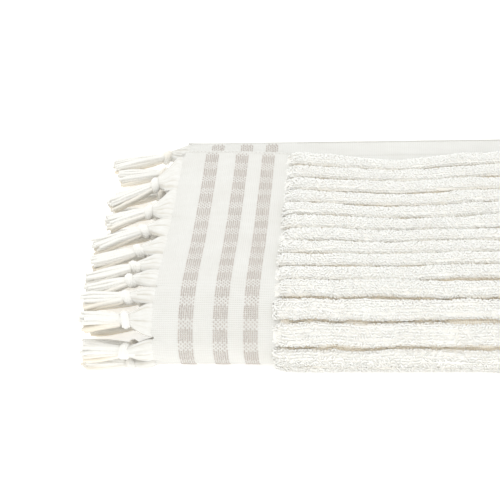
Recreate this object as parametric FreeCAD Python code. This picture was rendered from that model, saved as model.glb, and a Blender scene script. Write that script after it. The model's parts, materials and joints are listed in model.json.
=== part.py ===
import FreeCAD, Part
import math
import os

# Ribbed cotton bath mat, folded once along its length and lying on the floor.
# X runs along the mat, Y from the fold to the open edges, Z up.
# Millimetres.  Origin at the middle of the underside.

# ---- driving dimensions -------------------------------------------------
PITCH = 18.2            # one terry rib and the groove beside it
RIB_WIDTH = 14.4
RIB_HEIGHT = 6.6        # above the ground cloth
RIB_ROUND = 5.0         # shoulder radius of a rib
RIB_END_ROUND = 2.5
CLOTH_HALF = 1.0        # half the thickness of the ground cloth
WOVEN_LENGTH = 864.0    # between the two fringed edges
BAND_LENGTH = 93.0      # flat woven band at each end
STRIPES = ((22.0, 11.7), (48.2, 11.4), (71.0, 11.2))   # from the woven edge
HEM_WIDTH = 3.0         # selvedge along both long edges
HEM_HALF = 1.3
LOWER_RIBS = 14
FOLD_RIBS = 5
UPPER_RIBS = 10
KINKS = (46.0, 44.0, 48.0, 27.0, 16.0, 8.0)    # fold angles, floor upwards
GROOVE_GAP = 0.9        # cloth stops this far short of a fold line
FRINGE_GAP = 0.5        # loose fringe stands off the woven edge
NECK = (13.0, 15.0, 4.6)       # gathered yarn: length, width at cloth, at knot
KNOT = (14.0, 2.4, 4.4)        # length, end radius, middle radius
SKIRT = (34.5, 2.6, 5.8)       # length, radius at knot, radius at tip

# Each tassel: its place along the cloth from the far edge of the lower leaf,
# how far its knot leans towards the fold, and the angle its skirt is swept.
LOWER_TASSELS = (
    (12.4, 2.0, 16.0), (37.8, 0.0, 10.0), (63.2, 0.0, 13.0), (88.6, 0.0, 6.0),
    (114.0, 0.0, 9.0), (139.4, 0.0, 4.0), (164.8, 0.0, 7.0), (190.2, 0.0, 2.0),
    (215.6, 0.0, 5.0), (241.0, 0.0, 0.0))
FOLD_TASSELS = {          # the third stretch of the roll has none
    1: (263.0, 0.0, 0.0), 2: (286.0, 0.0, 2.0), 4: (313.0, 1.0, 3.0),
    5: (334.5, 1.0, 9.0)}
UPPER_TASSELS = (
    (354.0, 1.0, 14.0), (376.0, 5.0, 16.0), (400.0, 6.0, 14.0),
    (426.0, 3.0, 20.0), (459.0, 9.0, 16.0), (500.0, 12.0, 28.0))

HALF_LENGTH = WOVEN_LENGTH / 2.0
TERRY_HALF = HALF_LENGTH - BAND_LENGTH
RIB_TOP = CLOTH_HALF + RIB_HEIGHT


def frame_at(y, z, heading):
    """Placement of a stretch of cloth: local y runs along the cloth,
    local z points out of the ribbed face."""
    c = math.cos(math.radians(heading))
    s = math.sin(math.radians(heading))
    return FreeCAD.Placement(FreeCAD.Matrix(
        1, 0, 0, 0,
        0, -c, -s, y,
        0, s, -c, z,
        0, 0, 0, 1))


# ---- fold line positions ------------------------------------------------
lower_far = (LOWER_RIBS * PITCH, RIB_TOP)
places = [frame_at(lower_far[0], lower_far[1], 0.0)]
y, z, heading = 0.0, RIB_TOP, 0.0
for kink in KINKS:
    heading += kink
    places.append(frame_at(y, z, heading))
    y -= PITCH * math.cos(math.radians(heading))
    z += PITCH * math.sin(math.radians(heading))


def plate(x0, x1, s0, s1, half):
    return Part.makeBox(x1 - x0, s1 - s0, 2 * half, FreeCAD.Vector(x0, s0, -half))


def rib(s_mid):
    """One terry rib: straight flanks, round shoulders, flat crown."""
    w = RIB_WIDTH / 2.0
    r = RIB_ROUND
    k = r * (1 - math.cos(math.radians(45)))
    low = RIB_TOP - r
    pts = {
        "a": (-w, CLOTH_HALF), "b": (-w, low), "bc": (-w + k, RIB_TOP - k),
        "c": (-w + r, RIB_TOP), "d": (w - r, RIB_TOP),
        "de": (w - k, RIB_TOP - k), "e": (w, low), "f": (w, CLOTH_HALF)}
    p = {n: FreeCAD.Vector(-TERRY_HALF, s_mid + v[0], v[1]) for n, v in pts.items()}
    outline = Part.Wire([
        Part.makeLine(p["a"], p["b"]),
        Part.Arc(p["b"], p["bc"], p["c"]).toShape(),
        Part.makeLine(p["c"], p["d"]),
        Part.Arc(p["d"], p["de"], p["e"]).toShape(),
        Part.makeLine(p["e"], p["f"]),
        Part.makeLine(p["f"], p["a"])])
    bar = Part.Face(outline).extrude(FreeCAD.Vector(2 * TERRY_HALF, 0, 0))
    ends = []
    for edge in bar.Edges:
        box = edge.BoundBox
        if box.XLength < 0.001 and box.ZMax > CLOTH_HALF + 0.01:
            ends.append(edge)
    return bar.makeFillet(RIB_END_ROUND, ends)


def tassel(s_mid, side, gap, lean, sweep):
    """Gathered neck that leans along the cloth, then a tied knot and a skirt
    swept by the given angle."""
    solids = []
    x = HALF_LENGTH + gap
    length, wide, narrow = NECK
    sections = []
    for at, mid, w, h in ((x, s_mid, wide, 1.8),
                          (x + length - gap, s_mid + lean, narrow, 3.6)):
        corners = [
            FreeCAD.Vector(side * at, mid + w / 2.0, h / 2.0),
            FreeCAD.Vector(side * at, mid - w / 2.0, h / 2.0),
            FreeCAD.Vector(side * at, mid - w / 2.0, -h / 2.0),
            FreeCAD.Vector(side * at, mid + w / 2.0, -h / 2.0)]
        sections.append(Part.makePolygon(corners + corners[:1]))
    solids.append(Part.makeLoft(sections, True, True))
    turn = math.radians(sweep)
    along = FreeCAD.Vector(side * math.cos(turn), math.sin(turn), 0)
    at = FreeCAD.Vector(side * (HALF_LENGTH + length), s_mid + lean, 0)
    length, thin, thick = KNOT
    half = length / 2.0
    solids.append(Part.makeCone(thin, thick, half, at, along))
    solids.append(Part.makeCone(thick, thin, half, at + along * half, along))
    at = at + along * length
    length, thin, thick = SKIRT
    solids.append(Part.makeCone(thin, thick, length, at, along))
    return solids


def stripe_plates(s0, s1):
    out = []
    for start, wide in STRIPES:
        x0 = HALF_LENGTH - start - wide
        out.append(plate(x0, x0 + wide, s0, s1, CLOTH_HALF))
        out.append(plate(-x0 - wide, -x0, s0, s1, CLOTH_HALF))
    return out


def band_plates(s0, s1):
    """The undyed cloth between the stripes."""
    edges = [TERRY_HALF]
    for start, wide in reversed(STRIPES):
        edges += [HALF_LENGTH - start - wide, HALF_LENGTH - start]
    edges.append(HALF_LENGTH)
    out = []
    for x0, x1 in zip(edges[0::2], edges[1::2]):
        out.append(plate(x0, x1, s0, s1, CLOTH_HALF))
        out.append(plate(-x1, -x0, s0, s1, CLOTH_HALF))
    return out


nodes = {}


def add(name, solids, place):
    shape = Part.makeCompound(solids) if len(solids) > 1 else solids[0].copy()
    shape.transformShape(place.toMatrix())
    nodes[name] = shape


# ---- the two flat leaves ------------------------------------------------
g = GROOVE_GAP
leaves = (
    ("lower", places[0], LOWER_RIBS, 0.0, -g, 0.0, LOWER_TASSELS, 1.0),
    ("upper", places[6], UPPER_RIBS, g, 0.0, (LOWER_RIBS + FOLD_RIBS) * PITCH,
     UPPER_TASSELS, -1.0))
for leaf, place, count, near, far, start, tassels, fold_way in leaves:
    s0 = near
    s1 = count * PITCH + far
    add(leaf + "_ground_cloth", [plate(-TERRY_HALF, TERRY_HALF, s0, s1, CLOTH_HALF)], place)
    add(leaf + "_end_bands", band_plates(s0, s1), place)
    add(leaf + "_stripes", stripe_plates(s0, s1), place)
    if leaf == "lower":
        hem = plate(-HALF_LENGTH, HALF_LENGTH, -HEM_WIDTH, 0.0, HEM_HALF)
    else:
        hem = plate(-HALF_LENGTH, HALF_LENGTH, s1, s1 + HEM_WIDTH, HEM_HALF)
    add(leaf + "_selvedge", [hem], place)
    for i in range(count):
        add("%s_rib_%02d" % (leaf, i + 1), [rib((i + 0.5) * PITCH)], place)
    gap = FRINGE_GAP if leaf == "upper" else 0.0
    for end, side in (("left", -1), ("right", 1)):
        row = []
        for at, lean, sweep in tassels:
            row += tassel(at - start, side, gap, fold_way * lean, fold_way * sweep)
        add("%s_%s_tassels" % (leaf, end), row, place)

# ---- the rolled fold, one rib to a stretch ------------------------------
for k in range(FOLD_RIBS):
    name = "fold_%d" % (k + 1)
    place = places[k + 1]
    s0 = g
    s1 = PITCH - g
    ground = plate(-TERRY_HALF, TERRY_HALF, s0, s1, CLOTH_HALF)
    add(name + "_cloth", [ground] + band_plates(s0, s1), place)
    add(name + "_stripes", stripe_plates(s0, s1), place)
    add(name + "_rib", [rib(0.5 * PITCH)], place)
    if k + 1 in FOLD_TASSELS:
        at, lean, sweep = FOLD_TASSELS[k + 1]
        row = []
        for side in (-1, 1):
            row += tassel(at - (LOWER_RIBS + k) * PITCH, side, 0.0, -lean, -sweep)
        add(name + "_tassels", row, place)

# ---- centre on the origin and write -------------------------------------
box = Part.makeCompound(list(nodes.values())).BoundBox
shift = FreeCAD.Vector(0, -(box.YMin + box.YMax) / 2.0, 0)
os.makedirs("parts", exist_ok=True)
for name, shape in nodes.items():
    shape.translate(shift)
    shape.exportStep("parts/%s.step" % name)
print("nodes", len(nodes), "shift", round(shift.y, 4), "size", box)
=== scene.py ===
import json
import math

import bpy
import numpy as np
from mathutils import Matrix


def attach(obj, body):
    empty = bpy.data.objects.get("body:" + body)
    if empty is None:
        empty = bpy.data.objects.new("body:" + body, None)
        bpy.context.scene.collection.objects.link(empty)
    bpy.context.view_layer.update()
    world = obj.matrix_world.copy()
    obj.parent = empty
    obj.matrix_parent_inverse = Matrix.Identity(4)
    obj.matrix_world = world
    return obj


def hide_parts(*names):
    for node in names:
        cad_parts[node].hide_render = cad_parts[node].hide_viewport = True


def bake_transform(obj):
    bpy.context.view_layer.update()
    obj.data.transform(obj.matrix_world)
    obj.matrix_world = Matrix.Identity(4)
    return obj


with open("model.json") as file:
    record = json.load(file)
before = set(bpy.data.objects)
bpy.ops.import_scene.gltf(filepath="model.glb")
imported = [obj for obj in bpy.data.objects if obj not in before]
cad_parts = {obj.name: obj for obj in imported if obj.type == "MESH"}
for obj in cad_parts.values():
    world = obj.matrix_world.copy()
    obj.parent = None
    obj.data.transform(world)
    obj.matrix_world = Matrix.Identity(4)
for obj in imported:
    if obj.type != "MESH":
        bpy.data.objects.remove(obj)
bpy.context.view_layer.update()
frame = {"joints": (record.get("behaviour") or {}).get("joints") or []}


# ---- How the cloth lies ---------------------------------------------------
# One cotton cloth, folded in half along its length: flat on the floor, rolled
# over at the front, and back over itself.  s is the distance along the cloth
# from its lower far edge, and a heading of 0 runs along the floor to the front.
PITCH = 0.0182          # one terry rib and the groove beside it
HALF_LENGTH = 0.432     # to the woven edge
TERRY_HALF = 0.339      # to the end of the terry
LOWER_RIBS, FOLD_RIBS, UPPER_RIBS = 14, 5, 10
fold_lines = sorted((j for j in frame["joints"] if j["name"].startswith("fold_line")),
                    key=lambda j: j["name"])
corner = np.array([j["pos_m"][1:] for j in fold_lines])
turn = np.radians([j["range_deg"][1] for j in fold_lines])
headings = np.concatenate([[0.0], np.cumsum(turn)])
fold_at = (LOWER_RIBS + np.arange(6)) * PITCH
CLOTH_END = (LOWER_RIBS + FOLD_RIBS + UPPER_RIBS) * PITCH


def along(angle):
    """Direction of travel along the cloth, in Y and Z."""
    return np.stack([-np.cos(angle), np.sin(angle)], -1)


def lie(s):
    """Place (Y, Z) and heading of the middle of the cloth, with each fold line
    rounded from the middle of one stretch to the middle of the next."""
    s = np.asarray(s, float)
    place = corner[0] + (s - fold_at[0])[..., None] * along(np.zeros_like(s))
    heading = np.zeros_like(s)
    for at, line, bend, before in zip(fold_at, corner, turn, headings):
        t = np.clip((s - at) / PITCH + 0.5, 0, 1)
        angle = before + bend * t
        radius = PITCH / 2 / math.tan(bend / 2)
        start = line - PITCH / 2 * along(before)
        arc = start + radius * np.stack(
            [math.sin(before) - np.sin(angle), math.cos(before) - np.cos(angle)], -1)
        beyond = np.maximum(s - at - PITCH / 2, 0)[..., None]
        here = arc + beyond * along(before + bend)
        place = np.where((s >= at - PITCH / 2)[..., None], here, place)
        heading = np.where(s >= at - PITCH / 2, angle, heading)
    return place, heading


# Every tassel gathers a stretch of the woven edge: its middle along the cloth,
# half its width, how far its knot leans to the fold, the sweep of its skirt in
# degrees and the skirt's length.
TASSEL_STEP = 0.0254
lower_sweeps = (16, 10, 13, 6, 9, 4, 7, 2, 5, 0)
gathers = {"lower": [(0.0124 + TASSEL_STEP * i, TASSEL_STEP / 2, 0 if i else 0.002, sweep,
                      0.034 if i else 0.043) for i, sweep in enumerate(lower_sweeps)],
           "fold_1": [(0.2630, 0.0100, 0, 0, 0.029)],
           "fold_2": [(0.2860, 0.0105, 0, 2, 0.028)],
           "fold_4": [(0.3130, 0.0140, 0.001, 3, 0.0275)],
           "fold_5": [(0.3345, 0.0080, 0.001, 9, 0.030)],
           "upper": [(0.3540, 0.0105, 0.001, 14, 0.032), (0.3760, 0.0110, 0.005, 16, 0.0335),
                     (0.4000, 0.0130, 0.006, 14, 0.034), (0.4260, 0.0135, 0.003, 20, 0.0385),
                     (0.4590, 0.0200, 0.009, 16, 0.032), (0.5000, 0.0230, 0.012, 28, 0.037)]}
puffs = [g[:2] for row in gathers.values() for g in row]


def puff(s):
    """1 at the middle of a gathered stretch, 0 at the creases between them."""
    high = np.zeros_like(s)
    for middle, half in puffs:
        high = np.maximum(high, np.sqrt(np.clip(1 - ((s - middle) / half) ** 2, 0, 1)))
    return high


DIP_AT, DIP_WIDTH = -0.250, 0.05


def on_cloth(x, s, out=0.0):
    """Point on the cloth at x and s, raised by out towards the ribbed face.
    The upper leaf dips in one place, its rows wander, and the woven edges puff
    up where the warp is gathered into tassels."""
    x, s, out = np.broadcast_arrays(*(np.asarray(v, float) for v in (x, s, out)))
    top = np.clip((s - fold_at[4]) / 0.09, 0, 1)
    roll = np.clip((s - fold_at[0]) / 0.04, 0, 1)
    back = np.clip((s - fold_at[5]) / (UPPER_RIBS * PITCH), 0, 1.05)
    drift = top * (0.0009 * np.sin(x * 17 + s * 9) + 0.0005 * np.sin(x * 41 - s * 23 + 2))
    drift = drift + roll * (0.0005 * np.sin(x * 29 + s * 60) + 0.0003 * np.sin(x * 83 + s * 41))
    sag = top * 0.0009 * np.sin(x * 12 + 1.3) * np.cos(s * 14)
    sag = sag - 0.0040 * np.sin(np.minimum(back / 0.4, 1) * math.pi / 2) ** 2 + 0.0022 * back ** 4
    dip = np.exp(-((x - DIP_AT) / DIP_WIDTH) ** 2)
    sag = sag - (0.0035 * np.sqrt(back) + 0.0045 * back ** 3) * dip
    sag = sag + 0.0012 * back ** 6 + 0.0036 * back ** 3 * np.clip((np.abs(x) - 0.30) / 0.10, 0, 1)
    edge = np.clip(1 - (HALF_LENGTH - np.abs(x)) / 0.018, 0, 1) ** 2
    edge = edge * np.clip(1 - (np.abs(x) - HALF_LENGTH) / 0.012, 0, 1)
    sag = sag + edge * (0.0022 * puff(s) - 0.0008)
    place, heading = lie(s - drift)
    normal = np.stack([-np.sin(heading), -np.cos(heading)], -1)
    place = place + normal * (out + sag)[..., None]
    return np.concatenate([x[..., None], place], -1)


# ---- Ground cloth ---------------------------------------------------------
# Flat woven cotton in one piece, two leaves and the six bends of the roll.
# It is bare at the end bands, carries the terry between them, and shows as
# plain weave on the inside.  Thick warp runs along the mat.
def mesh_piece(name, points, faces, edges=()):
    mesh = bpy.data.meshes.new(name)
    mesh.from_pydata([tuple(p) for p in np.asarray(points).reshape(-1, 3)], list(edges), faces)
    mesh.update()
    piece = bpy.data.objects.new(name, mesh)
    bpy.context.scene.collection.objects.link(piece)
    return piece


def carry(piece, **attributes):
    """Gives the points of a piece a number or a direction each, under a name."""
    for key, value in attributes.items():
        value = np.asarray(value, np.float32)
        kind, field = ("FLOAT_VECTOR", "vector") if value.ndim == 2 else ("FLOAT", "value")
        piece.data.attributes.new(key, kind, "POINT").data.foreach_set(field, value.ravel())


def shell(name, front, back, where=None):
    """Closed piece between two grids of points, rows along x and columns along
    the cloth.  Its front carries ribbed as 1 and its back as 0.  where is (x, s)
    for the front grid, kept as the map named lay."""
    m, n = front.shape[:2]
    i, j = np.meshgrid(np.arange(m - 1), np.arange(n - 1), indexing="ij")
    a = (i * n + j).ravel()
    quads = np.stack([a, a + n, a + n + 1, a + 1], -1)
    under = quads[:, ::-1] + m * n
    rim = [i * n for i in range(m)] + [(m - 1) * n + j for j in range(1, n)]
    rim += [i * n + n - 1 for i in range(m - 2, -1, -1)] + list(range(n - 2, 0, -1))
    nxt = rim[1:] + rim[:1]
    sides = [(q, p, p + m * n, q + m * n) for p, q in zip(rim, nxt)]
    faces = quads.tolist() + under.tolist() + sides
    piece = mesh_piece(name, np.concatenate([front.reshape(-1, 3), back.reshape(-1, 3)]), faces)
    smooth = np.ones(len(faces), bool)
    smooth[2 * len(quads):] = False
    piece.data.polygons.foreach_set("use_smooth", smooth)
    carry(piece, ribbed=np.repeat([1.0, 0.0], m * n))
    if where is not None:
        lay = np.concatenate([where.reshape(-1, 2)] * 2)
        corners = np.empty(len(piece.data.loops), np.int32)
        piece.data.loops.foreach_get("vertex_index", corners)
        uv = piece.data.uv_layers.new(name="lay")
        uv.data.foreach_set("uv", lay[corners].astype(np.float32).ravel())
    return piece


class Wire:
    """A value in a node tree.  Sums and products add the Math node they need."""

    def __init__(self, tree, socket):
        self.tree, self.socket = tree, socket

    @classmethod
    def node(cls, tree, kind, settings=None, sockets=None, out=0):
        made = tree.nodes.new(kind)
        for key, value in (settings or {}).items():
            setattr(made, key, value)
        for key, value in (sockets or {}).items():
            if isinstance(value, Wire):
                tree.links.new(value.socket, made.inputs[key])
            else:
                made.inputs[key].default_value = value
        return cls(tree, made.outputs[out]) if len(made.outputs) else made

    def maths(self, operation, *values):
        return Wire.node(self.tree, "ShaderNodeMath", {"operation": operation},
                         dict(enumerate(values)))

    def __add__(self, other):
        return self.maths("ADD", self, other)

    def __radd__(self, other):
        return self.maths("ADD", other, self)

    def __sub__(self, other):
        return self.maths("SUBTRACT", self, other)

    def __rsub__(self, other):
        return self.maths("SUBTRACT", other, self)

    def __mul__(self, other):
        return self.maths("MULTIPLY", self, other)

    def __rmul__(self, other):
        return self.maths("MULTIPLY", other, self)

    def __truediv__(self, other):
        return self.maths("DIVIDE", self, other)

    def __pow__(self, other):
        return self.maths("POWER", self, other)


def yarn_finish(name, roughness, sheen):
    """A cotton finish with its shader, ready for a colour and a bump."""
    finish = bpy.data.materials.new(name)
    finish.use_nodes = True
    tree = finish.node_tree
    shader = tree.nodes["Principled BSDF"]
    shader.inputs["Roughness"].default_value = roughness
    shader.inputs["Specular IOR Level"].default_value = 0.25
    shader.inputs["Sheen Weight"].default_value = sheen
    shader.inputs["Sheen Roughness"].default_value = 0.6
    return finish, tree, shader


def mixed(tree, factor, low, high):
    """The colour low where factor is 0, and high where it is 1."""
    return Wire.node(tree, "ShaderNodeMix", {"data_type": "RGBA"},
                     {0: factor, 6: low, 7: high}, out=2)


def tint(tree, factor, low, high):
    return mixed(tree, factor, (*low, 1), (*high, 1))


def carried(tree, name, out=2):
    """What the points of a piece carry under a name."""
    return Wire.node(tree, "ShaderNodeAttribute", {"attribute_name": name}, out=out)


def noise(tree, where, scale, detail):
    """Noise of one scale, or of a scale for each axis."""
    if isinstance(scale, tuple):
        where = Wire.node(tree, "ShaderNodeMapping", {}, {"Vector": where, "Scale": scale})
        scale = 1.0
    return Wire.node(tree, "ShaderNodeTexNoise", {},
                     {"Vector": where, "Scale": scale, "Detail": detail})


def colour_with(tree, shader, colour):
    tree.links.new(colour.socket, shader.inputs["Base Color"])


def relief(tree, shader, height, distance):
    bump = Wire.node(tree, "ShaderNodeBump", {}, {"Height": height, "Distance": distance})
    tree.links.new(bump.socket, shader.inputs["Normal"])


WARP, WEFT = 0.0016, 0.00165
ground, tree, shader = yarn_finish("ground_cotton", 0.85, 0.12)
lay = Wire.node(tree, "ShaderNodeUVMap", {"uv_map": "lay"})
across = Wire.node(tree, "ShaderNodeSeparateXYZ", {}, {0: lay}, out=0)
down = Wire(tree, across.socket.node.outputs[1])
slub = noise(tree, lay, (60, 700, 1), 3.0)
warp = down * (math.pi / WARP) + slub * 0.9
warp = warp.maths("ABSOLUTE", warp.maths("SINE", warp))
weft = across * (math.pi / WEFT)
weft = weft.maths("ABSOLUTE", weft.maths("SINE", weft))
thread = warp ** 0.6 * (weft * 0.45 + 0.55)
cloud = noise(tree, lay, 40.0, 2.0)
tone = thread * 0.5 + cloud * 0.5
ribbed = carried(tree, "ribbed")

# Between the ribs the ground is painted a warm tan, which stands in for the warm shade down in the
# grooves, and the plain face shows each groove as a faint line.
reach = across.maths("ABSOLUTE", across)
inside = reach.maths("LESS_THAN", reach, TERRY_HALF - 0.006)
inside = inside * down.maths("LESS_THAN", down, CLOTH_END - 0.0025)
# Faint groove lines on the plain face: a real dent made by the bump, and darker colour that is
# painted shade.
groove_line_dent_and_shade = down * (1 / PITCH)
groove_line_dent_and_shade = groove_line_dent_and_shade.maths("FRACT", groove_line_dent_and_shade) - 0.5
groove_line_dent_and_shade = (groove_line_dent_and_shade.maths("ABSOLUTE", groove_line_dent_and_shade) * 2.0) ** 8.0 * inside * (1.0 - ribbed)
plain = tint(tree, tone, (0.57, 0.545, 0.49), (0.718, 0.708, 0.674))
# The plain face is painted a little lighter than the ribbed face, to offset the shadow it lies in.
back = tint(tree, tone - groove_line_dent_and_shade * 0.25, (0.60, 0.58, 0.53), (0.735, 0.725, 0.69))
# Painted warm groove shade for the ground on the ribbed face under the terry.
groove = tint(tree, weft ** 0.5, (0.84, 0.75, 0.60), (0.96, 0.91, 0.81))
front_with_painted_groove_shade = mixed(tree, inside, plain, groove)
colour_with(tree, shader, mixed(tree, ribbed, back, front_with_painted_groove_shade))
relief(tree, shader, thread + slub * 0.25 - groove_line_dent_and_shade * 1.5, 0.00028)

CLOTH_HALF = 0.0010
GATHER_START = HALF_LENGTH - 0.0210
RIM = 0.00005
band = np.concatenate([np.linspace(TERRY_HALF, GATHER_START, 29)[:-1],
                       np.linspace(GATHER_START, HALF_LENGTH - RIM, 19), [HALF_LENGTH]])
x_lines = np.concatenate([-band[::-1], np.linspace(-TERRY_HALF, TERRY_HALF, 84)[1:-1], band])


def cloth_piece(name, s_lines, stands_for):
    """One stretch of the cloth, with a narrow rim that keeps the shading of
    neighbouring stretches alike, and its woven ends drawn in between tassels."""
    rim = np.array([0, RIM])
    s_lines = np.concatenate([s_lines[0] + rim, s_lines[1:-1], s_lines[-1] - rim[::-1]])
    x, s = np.meshgrid(x_lines, s_lines, indexing="ij")
    edge = np.clip(1 - (HALF_LENGTH - np.abs(x)) / 0.012, 0, 1)
    drawn = x - np.sign(x) * 0.004 * edge * (1 - puff(s))
    piece = shell(name, on_cloth(drawn, s, CLOTH_HALF), on_cloth(drawn, s, -CLOTH_HALF),
                  np.stack([x, s], -1))
    piece.data.materials.append(ground)
    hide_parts(*stands_for)
    return piece


leaf_start = fold_at[5] + PITCH / 2
leaf_end = fold_at[0] - PITCH / 2
cloth_lower = cloth_piece("cloth_lower", np.linspace(0, leaf_end, 54),
                          ["lower_ground_cloth", "lower_end_bands"])
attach(cloth_lower, "lower_leaf")
cloth_upper = cloth_piece("cloth_upper", np.linspace(leaf_start, CLOTH_END, 46),
                          ["upper_ground_cloth", "upper_end_bands"])
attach(cloth_upper, "upper_leaf")


def bend_between(piece, line):
    """Bakes a piece across fold line 0 to 5 into its mesh where it lies; the ends of its bend are
    worked out but not used, and it is tied to no body.
    """
    ends, _ = lie(fold_at[line] + np.array([-0.5, 0.5]) * PITCH)
    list(ends[0])
    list(ends[1])
    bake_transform(piece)


for line in range(6):
    s_lines = fold_at[line] + np.linspace(-0.5, 0.5, 13) * PITCH
    stands_for = ["fold_%d_cloth" % (line + 1)] if line < 5 else []
    bend_between(cloth_piece("cloth_bend_%d" % (line + 1), s_lines, stands_for), line)


# ---- Hems -----------------------------------------------------------------
# The selvedge at each long edge, turned under once and held by a row of
# short stitches.
def new_tree(name, inputs):
    """An empty Geometry Nodes tree with the given inputs, and a function that
    reads an input by name."""
    tree = bpy.data.node_groups.new(name, "GeometryNodeTree")
    for key, kind in {"Geometry": "Geometry", **inputs}.items():
        tree.interface.new_socket(key, in_out="INPUT", socket_type="NodeSocket" + kind)
    tree.interface.new_socket("Geometry", in_out="OUTPUT", socket_type="NodeSocketGeometry")
    given = Wire.node(tree, "NodeGroupInput")

    def inlet(key):
        return Wire(tree, given.socket.node.outputs[key])

    return tree, inlet


def named(tree, kind, name):
    return Wire.node(tree, "GeometryNodeInputNamedAttribute", {"data_type": kind}, {"Name": name})


def end_tree(tree, geometry, material):
    done = Wire.node(tree, "GeometryNodeSetMaterial", {},
                     {"Geometry": geometry, "Material": material})
    Wire.node(tree, "NodeGroupOutput", {}, {"Geometry": done})
    return tree


def stitch_tree():
    """Lays one stitch on each point, flat on the cloth."""
    tree, inlet = new_tree("stitches", {"Length": "Float", "Width": "Float",
                                        "Height": "Float", "Thread": "Material"})
    size = Wire.node(tree, "ShaderNodeCombineXYZ", {},
                     {0: inlet("Width"), 1: inlet("Length"), 2: inlet("Height")})
    lump = Wire.node(tree, "GeometryNodeMeshCube", {}, {"Size": size})
    spot = Wire.node(tree, "GeometryNodeInputPosition")
    low = Wire.node(tree, "ShaderNodeSeparateXYZ", {}, {0: spot}, out=2)
    crown = low.maths("GREATER_THAN", low, 0.0)
    narrow = Wire.node(tree, "ShaderNodeVectorMath", {"operation": "MULTIPLY"},
                       {0: spot, 1: (0.55, 0.72, 1.0)})
    lump = Wire.node(tree, "GeometryNodeSetPosition", {},
                     {"Geometry": lump, "Selection": crown, "Position": narrow})
    lump = Wire.node(tree, "GeometryNodeSetShadeSmooth", {}, {0: lump})
    tilt = named(tree, "FLOAT_VECTOR", "tilt")
    spin = Wire.node(tree, "FunctionNodeEulerToRotation", {}, {0: tilt})
    laid = Wire.node(tree, "GeometryNodeInstanceOnPoints", {}, {
        "Points": inlet("Geometry"), "Instance": lump, "Rotation": spin,
        "Scale": named(tree, "FLOAT_VECTOR", "stretch")})
    solid = Wire.node(tree, "GeometryNodeRealizeInstances", {}, {0: laid})
    return end_tree(tree, solid, inlet("Thread"))


def point_piece(name, points, **attributes):
    """Loose points that carry what a tree needs at each of them."""
    piece = mesh_piece(name, points, [])
    carry(piece, **attributes)
    return piece


def grown(piece, tree, **inputs):
    """Runs a tree on a piece and keeps the result as its plain mesh."""
    maker = piece.modifiers.new("maker", "NODES")
    maker.node_group = tree
    for item in tree.interface.items_tree:
        if item.in_out == "INPUT" and item.name in inputs:
            maker[item.identifier] = inputs[item.name]
    piece.update_tag()
    view = bpy.context.evaluated_depsgraph_get()
    view.update()
    mesh = bpy.data.meshes.new_from_object(piece.evaluated_get(view))
    piece.modifiers.clear()
    piece.data = mesh
    return piece


stitches = stitch_tree()
HEM_HALF, HEM_WIDTH, HEM_LAP = 0.0013, 0.003, 0.0006
STITCH_STEP = 0.0034
for leaf, s0, s1 in (("lower", -HEM_WIDTH, HEM_LAP),
                     ("upper", CLOTH_END - HEM_LAP, CLOTH_END + HEM_WIDTH)):
    x, t = np.meshgrid(x_lines, np.linspace(0, 1, 7), indexing="ij")
    round_off = HEM_HALF * (1 - 0.75 * np.abs(2 * t - 1) ** 3)
    s = s0 + (s1 - s0) * t
    hem = shell(leaf + "_hem", on_cloth(x, s, round_off), on_cloth(x, s, -round_off),
                np.stack([x, s], -1))
    hem.data.materials.append(ground)
    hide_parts(leaf + "_selvedge")
    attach(hem, leaf + "_leaf")
    spots = np.arange(-HALF_LENGTH + 0.004, HALF_LENGTH - 0.003, STITCH_STEP)
    middle = np.full_like(spots, (s0 + s1) / 2)
    _, heading = lie(middle)
    thread = point_piece(leaf + "_hem_stitches", on_cloth(spots, middle, HEM_HALF),
                         tilt=np.stack([math.pi - heading, 0 * spots, 0 * spots + 1.45], -1),
                         stretch=np.ones((len(spots), 3)))
    grown(thread, stitches, Length=0.0022, Width=0.0006, Height=0.0005, Thread=ground)
    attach(thread, leaf + "_leaf")


# ---- Stripes --------------------------------------------------------------
# Three taupe stripes in each end band, woven in as seven columns of weft
# floats.  In line with the middle of a rib they lie close, and in line with a
# groove they skip every other warp thread, which makes the woven blocks.
taupe, tree, shader = yarn_finish("taupe_cotton", 0.8, 0.1)
spot = Wire.node(tree, "ShaderNodeTexCoord", out=3)
fleck = noise(tree, spot, 900.0, 2.0)
patch = noise(tree, spot, 140.0, 1.0)
colour_with(tree, shader, tint(tree, fleck * 0.6 + patch * 0.5,
                               (0.385, 0.33, 0.29), (0.63, 0.575, 0.525)))
relief(tree, shader, fleck, 0.0002)

STRIPES = ((0.0220, 0.0117), (0.0482, 0.0114), (0.0710, 0.0112))
COLUMNS = 7


def stripe_points(s0, s1):
    """Place, tilt and stretch of every float between two distances, on both
    faces of the cloth.  The plain face has them long and staggered all along."""
    rng = np.random.default_rng(int(s0 * 1e5) + 7)
    xs, ss, size, under = [], [], [], []
    first = math.ceil(max(s0, 0.0012) / WARP)
    for row in range(first, math.ceil(min(s1, CLOTH_END - 0.001) / WARP)):
        s = row * WARP
        over_rib = abs((s / PITCH) % 1 - 0.5) < 0.27
        for start, wide in STRIPES:
            for c in range(COLUMNS):
                x = HALF_LENGTH - start - wide * (c + 0.5) / COLUMNS
                for side, below in ((-1, 0), (1, 0), (-1, 1), (1, 1)):
                    if (below or not over_rib) and (row + c) % 2:
                        continue
                    xs.append(side * x + rng.normal(0, 0.00007))
                    ss.append(s + rng.normal(0, 0.00008))
                    under.append(below)
                    long = 1.9 if below else 0.98 if over_rib else 1.15
                    size.append((rng.uniform(0.8, 1.1), long * rng.uniform(0.9, 1.05), 1))
    xs, ss, under = np.array(xs), np.array(ss), np.array(under)
    _, heading = lie(ss)
    tilt = np.stack([math.pi * (1 - under) - heading, 0 * ss, rng.normal(0, 0.08, len(ss))], -1)
    return on_cloth(xs, ss, (CLOTH_HALF + 0.00012) * (1 - 2 * under)), tilt, np.array(size)


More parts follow.
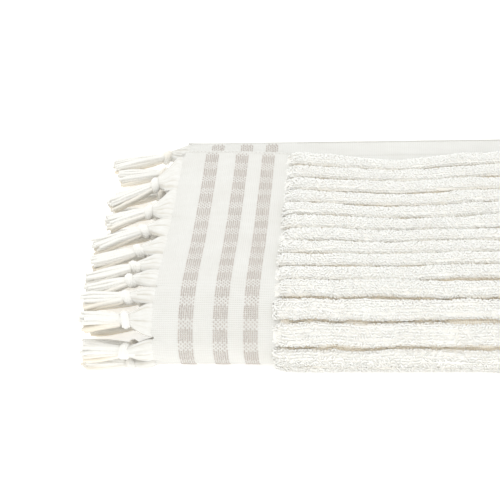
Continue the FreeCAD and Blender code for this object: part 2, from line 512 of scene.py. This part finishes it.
def stripe_piece(name, s0, s1, stands_for):
    points, tilt, size = stripe_points(s0, s1)
    piece = point_piece(name, points, tilt=tilt, stretch=size)
    grown(piece, stitches, Length=0.00145, Width=0.00118, Height=0.0007, Thread=taupe)
    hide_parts(*stands_for)
    return piece


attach(stripe_piece("stripes_lower", 0, leaf_end, ["lower_stripes"]), "lower_leaf")
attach(stripe_piece("stripes_upper", leaf_start, CLOTH_END, ["upper_stripes"]), "upper_leaf")
for line in range(6):
    stands_for = ["fold_%d_stripes" % (line + 1)] if line < 5 else []
    at = fold_at[line]
    bend_between(stripe_piece("stripes_bend_%d" % (line + 1), at - PITCH / 2, at + PITCH / 2,
                              stands_for), line)


# ---- Terry ribs -----------------------------------------------------------
# Twenty-nine rows of soft looped pile along the mat.  Each is a low padded
# bank of ground yarn under thousands of uncut cotton loops, set in rows that
# wander and part, with a bare groove between one rib and the next.  Its points
# carry tip, their height on a loop, and how near the groove they stand, and from
# these the colour is painted with shade: tan and darker low on the loops and
# near the grooves.
pile, tree, shader = yarn_finish("terry_cotton", 0.95, 0.15)
tip, deep = carried(tree, "tip"), carried(tree, "deep")
spot = Wire.node(tree, "ShaderNodeTexCoord", out=3)
cloud = noise(tree, spot, 60.0, 2.0)
fuzz = noise(tree, spot, 2200.0, 2.0)
# Painted shade: tan and darker near the grooves and low on each loop, with a random cloudy tone on
# top.
pile_tone_and_painted_shade = 1.0 - deep * 0.8 - (1.0 - tip) * 0.08 + (cloud - 0.5) * 0.2
pile_tone_and_painted_shade = pile_tone_and_painted_shade.maths("MAXIMUM", pile_tone_and_painted_shade, 0.0)
colour_with(tree, shader, tint(tree, pile_tone_and_painted_shade, (0.83, 0.71, 0.52), (0.862, 0.848, 0.806)))
relief(tree, shader, fuzz, 0.0003)


def stored(tree, geometry, kind, name, value):
    return Wire.node(tree, "GeometryNodeStoreNamedAttribute", {"data_type": kind},
                     {"Geometry": geometry, "Name": name, "Value": value})


def pile_tree():
    """Sets a yarn loop on every loose point of a rib and leaves its bank as it is."""
    tree, inlet = new_tree("terry_loops", {
        "Loop Height": "Float", "Loop Width": "Float", "Yarn Radius": "Float",
        "Spread": "Float", "Seed": "Int", "Yarn": "Material"})
    tall, wide = inlet("Loop Height"), inlet("Loop Width")

    def foot(side):
        return Wire.node(tree, "ShaderNodeCombineXYZ", {},
                         {0: wide * (0.5 * side), 2: tall * -0.35})

    peak = Wire.node(tree, "ShaderNodeCombineXYZ", {}, {2: tall * 2.0})
    arch = Wire.node(tree, "GeometryNodeCurveQuadraticBezier", {},
                     {"Resolution": 3, "Start": foot(-1), "Middle": peak, "End": foot(1)})
    ring = Wire.node(tree, "GeometryNodeCurvePrimitiveCircle", {},
                     {"Resolution": 3, "Radius": inlet("Yarn Radius")})
    loop = Wire.node(tree, "GeometryNodeCurveToMesh", {}, {"Curve": arch, "Profile Curve": ring})
    spot = Wire.node(tree, "GeometryNodeInputPosition")
    height = Wire.node(tree, "ShaderNodeSeparateXYZ", {}, {0: spot}, out=2) / tall
    loop = stored(tree, loop, "FLOAT", "tip", height)
    loop = Wire.node(tree, "GeometryNodeSetShadeSmooth", {}, {0: loop})
    root = named(tree, "FLOAT", "root")
    parts = Wire.node(tree, "GeometryNodeSeparateGeometry", {"domain": "POINT"},
                      {"Geometry": inlet("Geometry"), "Selection": root})
    bank = Wire(tree, parts.socket.node.outputs[1])

    def chance(low, high, step):
        return Wire.node(tree, "FunctionNodeRandomValue", {"data_type": "FLOAT_VECTOR"},
                         {0: low, 1: high, "Seed": inlet("Seed") + step})

    scale = Wire.node(tree, "ShaderNodeVectorMath", {"operation": "SCALE"},
                      {0: chance((-1, -1, -1), (1, 1, 1), 1), "Scale": inlet("Spread")})
    scale = Wire.node(tree, "ShaderNodeVectorMath", {"operation": "ADD"}, {0: scale, 1: (1, 1, 1)})
    spin = Wire.node(tree, "FunctionNodeEulerToRotation", {},
                     {0: chance((-0.3, -0.5, -1.1), (0.3, 0.5, 1.1), 2)})
    stand = named(tree, "FLOAT_VECTOR", "stand")
    spin = Wire.node(tree, "FunctionNodeAlignRotationToVector", {"axis": "Z"},
                     {"Rotation": spin, "Factor": 0.8, "Vector": stand})
    laid = Wire.node(tree, "GeometryNodeInstanceOnPoints", {}, {
        "Points": parts, "Instance": loop, "Rotation": spin, "Scale": scale})
    solid = Wire.node(tree, "GeometryNodeRealizeInstances", {}, {0: laid})
    both = Wire.node(tree, "GeometryNodeJoinGeometry")
    for part in (solid, bank):
        tree.links.new(part.socket, both.socket.node.inputs[0])
    return end_tree(tree, both, inlet("Yarn"))


RIB_WIDTH, RIB_HEIGHT = 0.0151, 0.0056
LOOP = {"Loop Height": 0.0008, "Loop Width": 0.0023, "Yarn Radius": 0.00078, "Spread": 0.2}


def wander(rng, x, step):
    """A smooth random line along x, between -1 and 1."""
    knots = rng.uniform(-1, 1, int(2 * HALF_LENGTH / step) + 4)
    t = (x + HALF_LENGTH) / step + 1
    i = np.clip(t.astype(int), 0, len(knots) - 2)
    f = t - i
    f = f * f * (3 - 2 * f)
    return knots[i] * (1 - f) + knots[i + 1] * f


def rib_surface(seed, s_mid, x, v):
    """Point on a rib's crown: v runs from -1 at one foot over the top to 1."""
    rng = np.random.default_rng(seed)
    side = wander(rng, x, 0.010) * 0.0006 + wander(rng, x, 0.045) * 0.0007
    wide = RIB_WIDTH / 2 * (1 + 0.06 * wander(rng, x, 0.020) + 0.06 * wander(rng, x, 0.006))
    tall = RIB_HEIGHT * (1 + 0.10 * wander(rng, x, 0.03))
    ragged = np.where(x < 0, rng.uniform(0, 0.004), rng.uniform(0, 0.004))
    ragged = ragged + 0.0008 * np.sin(v * 6 + seed)
    end = np.clip((TERRY_HALF + 0.001 - ragged - np.abs(x)) / 0.009, 0, 1)
    end = np.sqrt(1 - (1 - end) ** 2)
    angle = v * math.pi / 2
    s = s_mid + side + wide * (0.75 + 0.25 * end) * np.sign(v) * np.abs(np.sin(angle)) ** 0.85
    out = CLOTH_HALF * 0.6 + tall * end * np.clip(np.cos(angle), 0, 1) ** 0.55
    return on_cloth(x, s, out)


# Rows stand evenly round the bank: arc is how far round it each v_fine is,
# from -1 at one foot to 1 at the other.
v_fine = np.linspace(-1, 1, 201)
fine_angle = v_fine * math.pi / 2
bank_line = np.stack([RIB_WIDTH / 2 * np.sign(v_fine) * np.abs(np.sin(fine_angle)) ** 0.85,
                      RIB_HEIGHT * np.clip(np.cos(fine_angle), 0, 1) ** 0.55])
arc = np.concatenate([[0], np.cumsum(np.hypot(*np.diff(bank_line)))])
arc = arc / arc[-1] * 2 - 1


def rest_on_floor(piece):
    """Flattens what would sink into the floor."""
    place = np.empty(3 * len(piece.data.vertices), np.float32)
    piece.data.vertices.foreach_get("co", place)
    place[2::3] = np.maximum(place[2::3], 0)
    piece.data.vertices.foreach_set("co", place)
    piece.data.update()


BANK_ROWS, BANK_COLUMNS = 130, 11


def rib_piece(name, number, s_mid, rows, step, tree):
    """One rib: its padded bank, and loops standing on it in rows a step apart."""
    x, v = np.meshgrid(np.linspace(-TERRY_HALF, TERRY_HALF, BANK_ROWS),
                       np.linspace(-1, 1, BANK_COLUMNS), indexing="ij")
    crown = rib_surface(number, s_mid, x, v)
    base = on_cloth(x, s_mid + v * RIB_WIDTH / 2 * 0.9, CLOTH_HALF * 0.4)
    bank = shell(name, crown, base)
    foot = np.concatenate([np.abs(v).ravel(), np.ones(v.size)])
    reach = np.abs(np.concatenate([x.ravel()] * 2))

    # Where the loops stand: rows that wander and here and there part, each loop
    # a little out of line.
    rng = np.random.default_rng(number + 500)
    here_x = np.linspace(-TERRY_HALF, TERRY_HALF, 400)
    partings = [wander(rng, here_x, 0.05) * 0.35 + middle for middle in (-0.35, 0.35)]
    openings = [0.060 * np.clip(wander(rng, here_x, 0.028) * 2, 0, 1) for _ in partings]
    xs, vs = [], []
    for row in range(rows):
        x = np.arange(-TERRY_HALF + 0.001, TERRY_HALF - 0.001, step)
        x = x + rng.uniform(-0.35, 0.35, len(x)) * step + (row % 2) * step / 2
        v = (row + 0.5) / rows * 2 - 1
        v = v * 0.97 + wander(rng, x, 0.016) * 0.42 / rows + rng.normal(0, 0.2, len(x)) / rows
        for line, open_by in zip(partings, openings):
            beside = v - np.interp(x, here_x, line)
            v = v + np.sign(beside) * np.interp(x, here_x, open_by) * np.exp(-(beside / 0.13) ** 2)
        xs.append(x)
        vs.append(np.interp(np.clip(v, -0.98, 0.98), arc, v_fine))
    x = np.clip(np.concatenate(xs), -TERRY_HALF + 0.0006, TERRY_HALF - 0.0006)
    v = np.concatenate(vs)
    here = rib_surface(number, s_mid, x, v)
    ahead = [rib_surface(number, s_mid, x + sx, v + sv)
             for sx, sv in ((0.0004, 0), (-0.0004, 0), (0, 0.02), (0, -0.02))]
    normal = np.cross(ahead[0] - ahead[1], ahead[2] - ahead[3])
    normal /= np.linalg.norm(normal, axis=1)[:, None]

    count = len(bank.data.vertices)
    bank.data.vertices.add(len(here))
    place = np.concatenate([crown.reshape(-1, 3), base.reshape(-1, 3), here])
    bank.data.vertices.foreach_set("co", place.astype(np.float32).ravel())
    stand = np.concatenate([np.zeros((count, 3)), normal + rng.normal(0, 0.22, normal.shape)])
    foot = np.concatenate([foot, np.abs(v)])
    reach = np.concatenate([reach, np.abs(x)])
    # How near the groove each point stands, for painted shade; the bank between the loops gets
    # some painted shade everywhere.
    deep = np.clip((foot - 0.70) / 0.30, 0, 1) ** 1.5
    deep = deep * np.clip((TERRY_HALF - reach) / 0.014, 0, 1)
    deep[:count] = np.maximum(deep[:count], 0.10)
    carry(bank, root=np.arange(len(foot)) >= count, stand=stand, deep=deep,
          tip=np.full(len(foot), 0.5))
    grown(bank, tree, Seed=number, Yarn=pile, **LOOP)
    rest_on_floor(bank)
    return bank


loops = pile_tree()
for number in range(LOWER_RIBS + FOLD_RIBS + UPPER_RIBS):
    in_fold = number - LOWER_RIBS + 1
    rows, step = 11, 0.0022
    if number < LOWER_RIBS:
        node, body = "lower_rib_%02d" % (number + 1), "lower_leaf"
        rows, step = 6, 0.0032
    elif in_fold <= FOLD_RIBS:
        node, body = "fold_%d_rib" % in_fold, "fold_%d" % in_fold
    else:
        node, body = "upper_rib_%02d" % (in_fold - FOLD_RIBS), "upper_leaf"
    rib = rib_piece("terry_" + node, number, (number + 0.5) * PITCH, rows, step, loops)
    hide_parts(node)
    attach(rib, body)


# ---- Tassels --------------------------------------------------------------
# Past the last weft the loose warp is gathered in bunches, each bunch tied in
# one knot, and its ends hang as a skirt of twisted yarns.  They are tied by
# hand, so no two are quite alike.  Yarns are loose and necks are not.  The colour
# carries painted shade in the hollow of each pleat and a painted warm shadow on
# the underside of each bunch.
fringe, tree, shader = yarn_finish("fringe_cotton", 0.85, 0.2)
around, run = carried(tree, "around", out=1), carried(tree, "run")
ring_x = Wire.node(tree, "ShaderNodeSeparateXYZ", {}, {0: around}, out=0)
ring_y = Wire(tree, ring_x.socket.node.outputs[1])
TWIST = 0.0024
phase = run * (2 * math.pi / TWIST)
ply = ring_x * phase.maths("SINE", phase) + ring_y * phase.maths("COSINE", phase)
spot = Wire.node(tree, "ShaderNodeTexCoord", out=3)
fibre = noise(tree, spot, (150, 800, 800), 3.0)
cloud = noise(tree, spot, 180.0, 2.0)
loose, crease, warm = (carried(tree, name) for name in ("loose", "crease", "warm"))
# Painted shade darkens the hollow of each pleat.
tone = ply * 0.06 + fibre * 0.4 + cloud * 0.5 + (1.0 - loose) * 0.25 - crease * 0.6
# Necks and skirts are one yarn painted as a darker and a lighter copy, to offset how light falls
# on them: skirts shade each other, necks do not.
neck_yarn_painted_darker = tint(tree, tone, (0.55, 0.51, 0.43), (0.73, 0.72, 0.69))
skirt_painted_light_and_shade = tint(tree, tone, (0.745, 0.715, 0.65), (0.78, 0.77, 0.74))
# Painted warm shadow on the undersides of the skirts and knots.
skirt_painted_light_and_shade = mixed(tree, warm * 0.45, skirt_painted_light_and_shade, (0.78, 0.65, 0.45, 1))
colour_with(tree, shader, mixed(tree, loose, neck_yarn_painted_darker, skirt_painted_light_and_shade))
relief(tree, shader, ply * 0.2 + fibre, 0.0002)


def strand_tree():
    """Turns lines into round yarns as thick as their girth."""
    tree, inlet = new_tree("yarn_strands", {"Sides": "Int", "Yarn": "Material"})
    line = Wire.node(tree, "GeometryNodeMeshToCurve", {}, {"Mesh": inlet("Geometry")})
    run = Wire.node(tree, "GeometryNodeSplineParameter", out=1)
    line = stored(tree, line, "FLOAT", "run", run)
    girth = named(tree, "FLOAT", "girth")
    line = Wire.node(tree, "GeometryNodeSetCurveRadius", {}, {"Curve": line, "Radius": girth})
    ring = Wire.node(tree, "GeometryNodeCurvePrimitiveCircle", {},
                     {"Resolution": inlet("Sides"), "Radius": 1.0})
    spot = Wire.node(tree, "GeometryNodeInputPosition")
    ring = stored(tree, ring, "FLOAT_VECTOR", "around", spot)
    yarn = Wire.node(tree, "GeometryNodeCurveToMesh", {}, {
        "Curve": line, "Profile Curve": ring, "Scale": girth, "Fill Caps": True})
    yarn = Wire.node(tree, "GeometryNodeSetShadeSmooth", {}, {0: yarn})
    yarn = stored(tree, yarn, "FLOAT", "loose", 1.0)
    yarn = Wire.node(tree, "GeometryNodeRealizeInstances", {}, {0: yarn})
    return end_tree(tree, yarn, inlet("Yarn"))


strands = strand_tree()


def strand_piece(name, lines, sides):
    """A piece of round yarns, each given as its points, its girth and how much
    painted warm shadow it carries."""
    points, edges, girth, warm = [], [], [], []
    for line, thick, low in lines:
        n = len(points)
        points += [tuple(p) for p in line]
        girth += list(np.broadcast_to(thick, len(line)))
        warm += list(np.broadcast_to(low, len(line)))
        edges += [(n + i, n + i + 1) for i in range(len(line) - 1)]
    piece = mesh_piece(name, points, [], edges)
    carry(piece, girth=girth, warm=warm)
    return grown(piece, strands, Sides=sides, Yarn=fringe)


NECK, KNOT = 0.0130, 0.0100
NECK_END = 0.0042
SKIRT_YARNS, SKIRT_YARN, KNOT_YARN, CORE_YARN = 26, 0.00205, 0.0013, 0.0042
GOLDEN_ANGLE = 2.39996
SKIRT_REST, MOST_DROOP = 0.0225, 0.007    # height of the edge without droop, and its limit


def tassel(seed, side, gather, fold_way, droop):
    """Grids of one gathered neck, and the lines of its knot and skirt."""
    middle, half, lean, sweep, length = gather
    rng = np.random.default_rng(seed)
    bend = math.radians(sweep)

    def spot_on(d, b, c):
        """Point d past the woven edge along the tassel, b beside it, c out of it."""
        d, b, c = np.broadcast_arrays(*(np.asarray(v, float) for v in (d, b, c)))
        t = np.clip(d / NECK, 0, 1)
        after = np.maximum(d - NECK, 0)
        angle = bend * np.clip((d - 0.6 * NECK) / (0.6 * NECK), 0, 1)
        x = HALF_LENGTH + np.minimum(d, NECK) + after * math.cos(bend)
        x = x - b * np.sin(angle) * fold_way
        s = middle + fold_way * (lean * t * t * (3 - 2 * t) + after * math.sin(bend))
        s = s + b * np.cos(angle)
        point = on_cloth(side * x, s, c)
        point[..., 2] -= droop * np.clip((d - 0.006) / (NECK + length), 0, 1) ** 1.4
        return point

    # Neck: warp drawn together in pleats, from the full width of its stretch.
    t, v = np.meshgrid(np.linspace(0, 1, 17), np.linspace(-1, 1, 33), indexing="ij")
    wide = NECK_END + (half * 1.02 - NECK_END) * (1 - t) ** 1.1 * (1 + 0.45 * np.sin(np.pi * t))
    thick = 0.0004 + 0.0036 * np.sin(np.pi * (0.02 + 0.62 * t))
    pleat = np.sin(v * (9 + half * 500) + seed) + 0.6 * np.sin(v * 23 + seed * 2)
    body = np.clip(1 - v ** 2, 0, 1) ** 0.4 * (thick + 0.00038 * pleat * np.sin(np.pi * t) ** 0.7)
    start = -0.004
    d = start + t * (NECK + 0.004 - start)
    up = spot_on(d, wide * v, body)
    down = spot_on(d, wide * v, -body)
    # Painted shade for the hollow of each pleat.
    crease = np.clip(-pleat - 0.4, 0, 1) * np.sin(np.pi * t)

    # Knot: four yarns wound side by side round the bunch, aslant, and pulled tight.
    q = np.linspace(0, 1, 30)
    a = q * 3.1 * math.pi + rng.uniform(0, 6)
    slant = 0.0015 * np.cos(a + rng.uniform(0, 6))
    wind = 0.0045 * rng.uniform(0.94, 1.1)
    belly = np.sin(np.pi * np.clip(q * 0.8 + 0.1, 0, 1)) ** 0.5
    knots = [(spot_on(NECK + np.linspace(-0.003, KNOT, 8), 0, 0), CORE_YARN, 0)]
    for k in range(4):
        place = (k - 1.5) * 0.0012
        round_by = (wind + 0.0007 * math.cos(place * 900)) * belly
        # The lower side of each winding carries painted warm shadow.
        knots.append((spot_on(NECK + 0.0036 + q * 0.0030 + place + slant,
                              round_by * np.cos(a) * 1.15, round_by * np.sin(a)),
                      KNOT_YARN, np.clip(-np.sin(a), 0, 1) * 0.5))

    # Skirt: loose yarns that part in three or four locks towards their ends.
    clumps = int(rng.integers(3, 5))
    lock = rng.uniform(0, 6)
    reach = KNOT + NECK - 0.001
    q = np.linspace(0, 1, 8)
    skirts = []
    for i in range(SKIRT_YARNS):
        r, angle = math.sqrt((i + 0.5) / SKIRT_YARNS), i * GOLDEN_ANGLE + seed
        toward = lock + round((angle - lock) / (2 * math.pi / clumps)) * 2 * math.pi / clumps
        fan = 0.0034 + 0.0056 * q ** 0.8
        draw = 0.34 * q ** 1.5
        b = fan * ((1 - draw) * r * math.cos(angle) + draw * 0.8 * math.cos(toward))
        c = fan * ((1 - draw) * r * math.sin(angle) + draw * 0.8 * math.sin(toward)) * 0.68
        b = b + 0.0007 * np.sin(q * 5 + rng.uniform(0, 6)) * q
        c = c + 0.0005 * np.sin(q * 5 + rng.uniform(0, 6)) * q
        run = reach + q * (length + rng.normal(0, 0.0016))
        line = spot_on(run, b, c)
        off = line - spot_on(run, 0, 0)
        # How far the yarn lies on the underside of the bunch, for painted warm shadow.
        low = np.clip(-(off[:, 2] + 0.6 * off[:, 1]) / 0.0055, 0, 1)
        skirts.append((line, SKIRT_YARN * (1 - 0.30 * q ** 3) * rng.uniform(0.85, 1.12), low))
    return (up, down, crease), knots, skirts


for label, row in gathers.items():
    body = label if label.startswith("fold") else label + "_leaf"
    for end, side in (("left", -1), ("right", 1)):
        necks, knots, skirts = [], [], []
        for i, gather in enumerate(row):
            edge = on_cloth(side * HALF_LENGTH, gather[0])
            droop = 0.0
            if label == "upper":
                droop = min(max(edge[2] - SKIRT_REST, 0), MOST_DROOP)
            seed = i + 31 * len(label) + (7 if side > 0 else 0)
            seed += int(label[-1]) if body == label else 0
            neck, knot, skirt = tassel(seed, side, gather, 1 if label == "lower" else -1, droop)
            up, down, crease = neck if side > 0 else [g[:, ::-1] for g in neck]
            necks.append(shell("neck", up, down))
            carry(necks[-1], crease=np.tile(crease.ravel(), 2))
            knots += knot
            skirts += skirt
        if len(necks) > 1:
            with bpy.context.temp_override(active_object=necks[0],
                                           selected_editable_objects=necks):
                bpy.ops.object.join()
        neck = necks[0]
        neck.name = "necks_%s_%s" % (label, end)
        neck.data.materials.append(fringe)
        bunch = strand_piece("skirts_%s_%s" % (label, end), skirts, 5)
        tied = strand_piece("knots_%s_%s" % (label, end), knots, 6)
        node = "%s_tassels" % label if body == label else "%s_%s_tassels" % (label, end)
        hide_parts(node)
        swing = "upper_%s_fringe" % end if label == "upper" else body
        for piece in (neck, bunch, tied):
            rest_on_floor(piece)
        for piece in (bunch, tied):
            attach(piece, swing)
        if label == "upper":
            y, z = on_cloth(0, fold_at[5] + 0.5 * UPPER_RIBS * PITCH)[1:]
            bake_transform(neck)
        else:
            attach(neck, swing)


# ---- Floor, light and camera ----------------------------------------------
# A plain white light table that glows a little, under an even sky, with a soft
# lamp behind on the left and a wide one in front.
floor = mesh_piece("floor", [(-6, -6, 0), (6, -6, 0), (6, 6, 0), (-6, 6, 0)], [(0, 1, 2, 3)])
paper = bpy.data.materials.new("white_paper")
paper.use_nodes = True
shader = paper.node_tree.nodes["Principled BSDF"]
shader.inputs["Base Color"].default_value = (0.99, 0.99, 0.985, 1)
shader.inputs["Roughness"].default_value = 0.9
shader.inputs["Emission Color"].default_value = (1.0, 0.985, 0.955, 1)
shader.inputs["Emission Strength"].default_value = 0.36
floor.data.materials.append(paper)

world = bpy.data.worlds.new("studio")
world.use_nodes = True
world.node_tree.nodes["Background"].inputs["Color"].default_value = (0.96, 0.982, 1.0, 1)
world.node_tree.nodes["Background"].inputs["Strength"].default_value = 1.25
bpy.context.scene.world = world
for name, spot, size, power in (("key", (-0.9, 0.9, 1.5), 1.2, 6.5),
                                ("front", (0.3, -1.6, 1.6), 1.6, 7.0)):
    lamp = bpy.data.lights.new(name, "AREA")
    lamp.shape, lamp.size, lamp.energy = "SQUARE", size, power
    light = bpy.data.objects.new(name, lamp)
    light.location = spot
    aim = np.array([-0.2, 0, 0]) - np.array(spot)
    down = math.acos(-aim[2] / np.linalg.norm(aim))
    light.rotation_euler = (down, 0, math.atan2(aim[1], aim[0]) - math.pi / 2)
    bpy.context.scene.collection.objects.link(light)
bpy.context.scene.view_settings.view_transform = "Standard"

# The camera looks down on the near left corner of the mat.
lens = bpy.data.cameras.new("camera")
lens.sensor_width = 36.0
lens.lens = 94.06584
lens.clip_start, lens.clip_end = 0.05, 30
camera = bpy.data.objects.new("camera", lens)
tilt, yaw, roll = (math.radians(v) for v in (44.74, -8.00, -5.95))
ahead = np.array([math.sin(yaw) * math.cos(tilt), math.cos(yaw) * math.cos(tilt),
                  -math.sin(tilt)])
right = np.cross(ahead, [0, 0, 1])
right /= np.linalg.norm(right)
up = np.cross(right, ahead)
right, up = (math.cos(roll) * right + math.sin(roll) * up,
             math.cos(roll) * up - math.sin(roll) * right)
aim = np.array([-0.3638, -0.0203626, 0.030])
DISTANCE = 1.05214
eye = aim - DISTANCE * ahead
camera.matrix_world = Matrix([*np.stack([right, up, -ahead, eye], 1).tolist(), (0, 0, 0, 1)])
bpy.context.scene.collection.objects.link(camera)
bpy.context.scene.camera = camera
